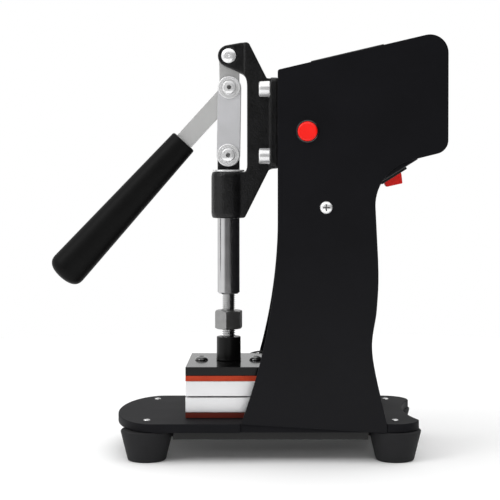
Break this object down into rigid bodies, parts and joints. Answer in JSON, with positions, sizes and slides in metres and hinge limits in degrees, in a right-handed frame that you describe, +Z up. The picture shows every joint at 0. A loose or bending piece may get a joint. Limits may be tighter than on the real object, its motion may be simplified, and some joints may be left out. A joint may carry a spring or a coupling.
{
  "type": "heated hand press",
  "caption": "Small black hand press: a toggle lever drives a plunger that closes an upper heated platen on a lower one, on a sheet-metal stand with rubber feet.",
  "frame": {"origin": "under the middle of the press, on the surface it stands on", "axes": "+Z up, +X from the lever towards the head's rear, +Y towards the far side panel, away from the one with the red button"},
  "size_m": [0.2806, 0.128, 0.2918],
  "materials": {
    "paint": "satin black powder coat",
    "base_paint": "satin dark grey powder coat",
    "casting": "textured black enamel",
    "rubber": "matte moulded",
    "grip_plastic": "soft satin black",
    "steel": "satin, lightly brushed",
    "polished_steel": "ground and polished",
    "chrome": "bright plated",
    "nut_steel": "machined, dull",
    "black_steel": "black oxide, satin",
    "aluminium": "fine machined",
    "insulation": "orange-red silicone board",
    "red_plastic": "glossy red",
    "black_plastic": "fine moulded texture",
    "grey_plastic": "satin grey",
    "display": "dark red lens",
    "board": "green board",
    "silicone": "black silicone sleeve"
  },
  "bodies": {
    "root": {"foot_front_near": "rubber", "foot_front_far": "rubber", "foot_rear_near": "rubber", "foot_rear_far": "rubber", "base_plate": "base_paint", "base_pan": "black_plastic", "side_panel_near": "paint", "side_panel_far": "paint", "front_wall": "paint", "top_cover": "paint", "rear_cover": "paint", "switch_plate": "paint", "back_wall": "paint", "tie_bar": "steel", "side_screw_near": "chrome", "side_screw_far": "chrome", "clamp_frame": "casting", "backing_plate": "steel", "guide_bush": "polished_steel", "mount_bolt_upper_near": "chrome", "mount_bolt_upper_far": "chrome", "mount_bolt_lower_near": "chrome", "mount_bolt_lower_far": "chrome", "lower_insulation": "insulation", "lower_platen": "aluminium", "lower_heater": "steel", "lever_pin": "polished_steel", "button_body": "black_plastic", "rocker_body": "black_plastic", "controller_case": "black_plastic", "controller_window": "display", "power_inlet": "black_plastic", "control_board": "board"},
    "plunger": {"plunger_rod": "polished_steel", "plunger_head": "casting", "wrist_pin": "steel", "platen_boss": "black_steel", "top_plate": "black_steel", "top_plate_screw_front": "black_steel", "top_plate_screw_rear": "black_steel", "upper_insulation": "insulation", "upper_platen": "aluminium", "upper_heater": "steel", "heater_lead": "silicone"},
    "pressure_screw": {"pressure_screw": "steel", "jam_nut": "nut_steel"},
    "lever": {"lever": "steel", "grip": "grip_plastic"},
    "links": {"link_near": "steel", "link_far": "steel", "knee_screw_near": "chrome", "knee_screw_far": "chrome", "wrist_screw_near": "chrome", "wrist_screw_far": "chrome"},
    "push_button": {"button_cap": "red_plastic"},
    "rocker": {"rocker_paddle": "red_plastic"},
    "key_down": {"key_down": "grey_plastic"},
    "key_set": {"key_set": "grey_plastic"},
    "key_up": {"key_up": "grey_plastic"}
  },
  "joints": [
    {"name": "lever_swing", "type": "hinge", "parent": "root", "child": "lever", "pos_m": [-0.0125, 0, 0.2814], "axis": [0, 1, 0], "range_deg": [0, 100]},
    {"name": "plunger_travel", "type": "slide", "parent": "root", "child": "plunger", "axis": [0, 0, 1], "range_m": [0, 0.03122]},
    {"name": "knee_fold", "type": "hinge", "parent": "lever", "child": "links", "pos_m": [-0.0121, 0, 0.2589], "axis": [0, 1, 0], "range_deg": [-127.82, 0]},
    {"name": "pressure_screw_turn", "type": "hinge", "parent": "plunger", "child": "pressure_screw", "pos_m": [-0.0129, 0, 0.09], "axis": [0, 0, 1], "continuous": true},
    {"name": "button_press", "type": "slide", "parent": "root", "child": "push_button", "axis": [0, 1, 0], "range_m": [0, 0.002], "stiffness_N_per_m": 300},
    {"name": "rocker_tilt", "type": "hinge", "parent": "root", "child": "rocker", "pos_m": [0.10391, 0, 0.1988], "axis": [0, -1, 0], "range_deg": [0, 18]},
    {"name": "key_down_press", "type": "slide", "parent": "root", "child": "key_down", "axis": [0.2283, 0, -0.9736], "range_m": [0, 0.0012], "stiffness_N_per_m": 250},
    {"name": "key_set_press", "type": "slide", "parent": "root", "child": "key_set", "axis": [0.2283, 0, -0.9736], "range_m": [0, 0.0012], "stiffness_N_per_m": 250},
    {"name": "key_up_press", "type": "slide", "parent": "root", "child": "key_up", "axis": [0.2283, 0, -0.9736], "range_m": [0, 0.0012], "stiffness_N_per_m": 250}
  ],
  "couplings": [
    {"joint": "plunger_travel", "follows": "lever_swing", "m_per_rad": 0.017887},
    {"joint": "knee_fold", "follows": "lever_swing", "ratio": -1.2781}
  ]
}
